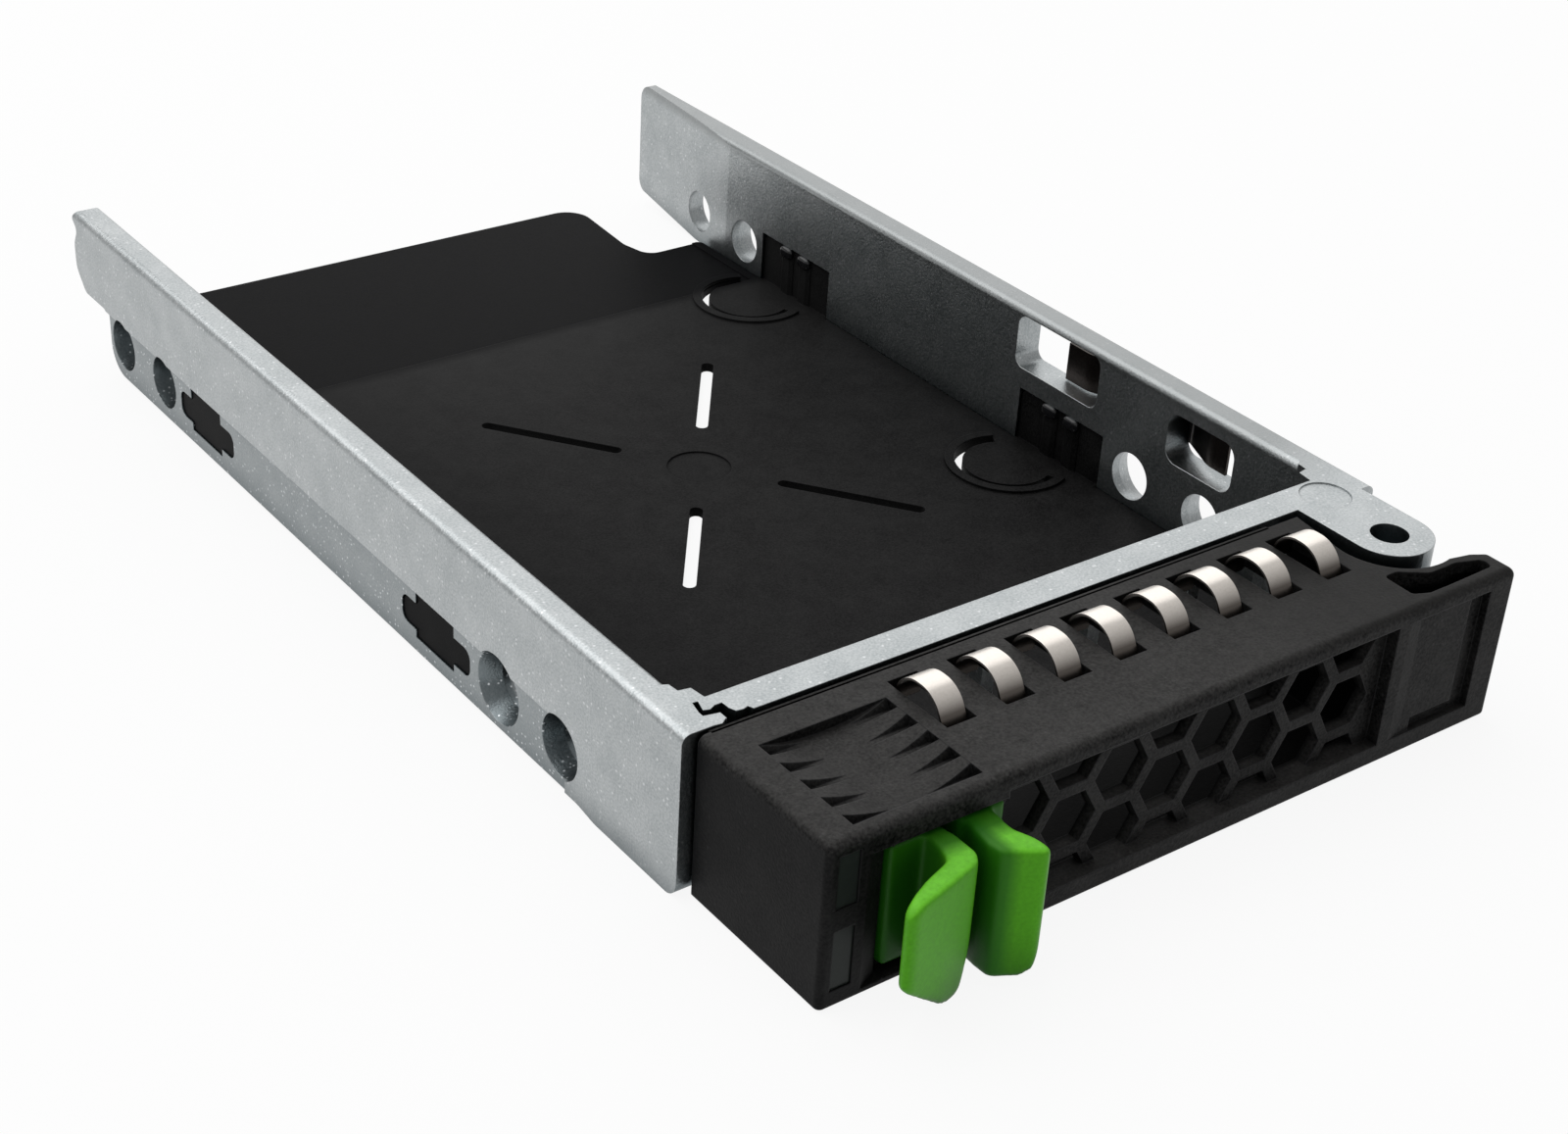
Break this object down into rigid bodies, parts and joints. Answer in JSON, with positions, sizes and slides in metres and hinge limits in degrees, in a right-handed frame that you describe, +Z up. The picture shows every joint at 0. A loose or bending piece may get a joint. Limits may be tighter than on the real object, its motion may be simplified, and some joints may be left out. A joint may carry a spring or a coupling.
{
  "type": "hot swap drive caddy",
  "caption": "Hot swap caddy for a 2.5 inch server drive: cast frame with clipped-in floor tray, hinged vented front lever, sliding green latch and spring contacts.",
  "frame": {"origin": "centre of the caddy's footprint, on the surface it lies on", "axes": "+Y from the front lever towards the rear of the rails, +X to the right seen from the front, +Z up out of the open top of the bay"},
  "size_m": [0.0778, 0.1422, 0.0173],
  "materials": {
    "zinc_casting": "die cast zinc, fine satin grain",
    "black_base": "moulded, fine matt grain",
    "black_front": "moulded, fine matt grain",
    "green_plastic": "moulded, satin",
    "nickel_silver": "rolled strip, bright",
    "stainless_leaf": "rolled spring strip",
    "steel_pin": "ground",
    "spring_wire": "drawn wire",
    "clear_plastic": "clear moulding, slightly milky"
  },
  "bodies": {
    "carrier": {"frame_casting": "zinc_casting", "base_tray": "black_base", "hinge_pin": "steel_pin", "side_spring": "stainless_leaf"},
    "lever": {"lever_handle": "black_front", "finger_strip": "nickel_silver", "thumb_rest": "green_plastic", "latch_spring": "spring_wire", "lever_spring": "spring_wire", "upper_light_pipe": "clear_plastic", "lower_light_pipe": "clear_plastic"},
    "latch": {"latch_slider": "green_plastic"}
  },
  "joints": [
    {"name": "lever_hinge", "type": "hinge", "parent": "carrier", "child": "lever", "pos_m": [0.03215, -0.05465, 0.0078], "axis": [0, 0, 1], "range_deg": [0, 60], "deforming": ["lever_spring"]},
    {"name": "latch_slide", "type": "slide", "parent": "lever", "child": "latch", "axis": [1, 0, 0], "range_m": [0, 0.0009], "stiffness_N_per_m": 400, "springref_m": -0.002, "deforming": ["latch_spring"]}
  ]
}
